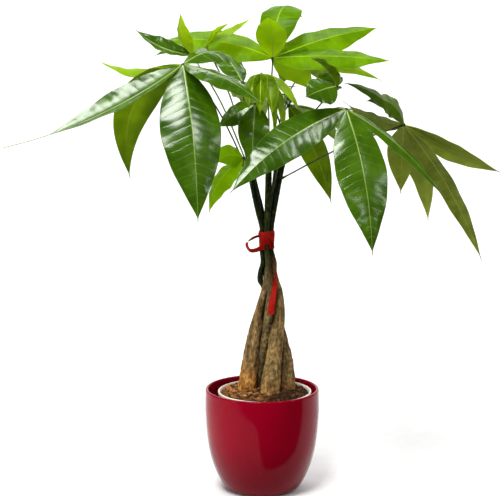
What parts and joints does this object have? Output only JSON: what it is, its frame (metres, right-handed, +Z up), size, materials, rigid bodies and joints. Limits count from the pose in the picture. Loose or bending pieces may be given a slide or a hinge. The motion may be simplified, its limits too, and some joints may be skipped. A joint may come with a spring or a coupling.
{
  "type": "potted money tree",
  "caption": "Potted money tree: braided stems tied with a red ribbon, palmate leaves, in a nursery pot set in a round dark red glazed pot.",
  "frame": {"origin": "centre of the glazed pot's flat base, on the surface that it stands on", "axes": "+Z up along the pot's axis, -Y towards the front, +X to the right as seen from the front"},
  "size_m": [0.7337, 0.4409, 0.7286],
  "materials": {
    "glaze": "glossy dark red glaze",
    "nursery": "satin cream plastic",
    "soil": "loose bark and coir",
    "bark": "flaky tan bark below, smooth green skin above",
    "leaf": "glossy dark green above, matt yellow-green below",
    "young_leaf": "satin light green",
    "ribbon": "red ribbon with a soft sheen"
  },
  "bodies": {
    "root": {"pot": "glaze", "inner_pot": "nursery", "soil": "soil", "stem_1": "bark", "stem_2": "bark", "stem_3": "bark", "stem_4": "bark", "stem_5": "bark", "ribbon": "ribbon", "leaf_01": "leaf", "leaf_02": "young_leaf", "leaf_03": "young_leaf", "leaf_04": "leaf", "leaf_05": "leaf", "leaf_06": "young_leaf", "leaf_07": "leaf", "leaf_08": "leaf", "leaf_09": "leaf", "leaf_10": "leaf", "leaf_11": "leaf", "leaf_12": "leaf", "leaf_13": "leaf"}
  },
  "joints": []
}
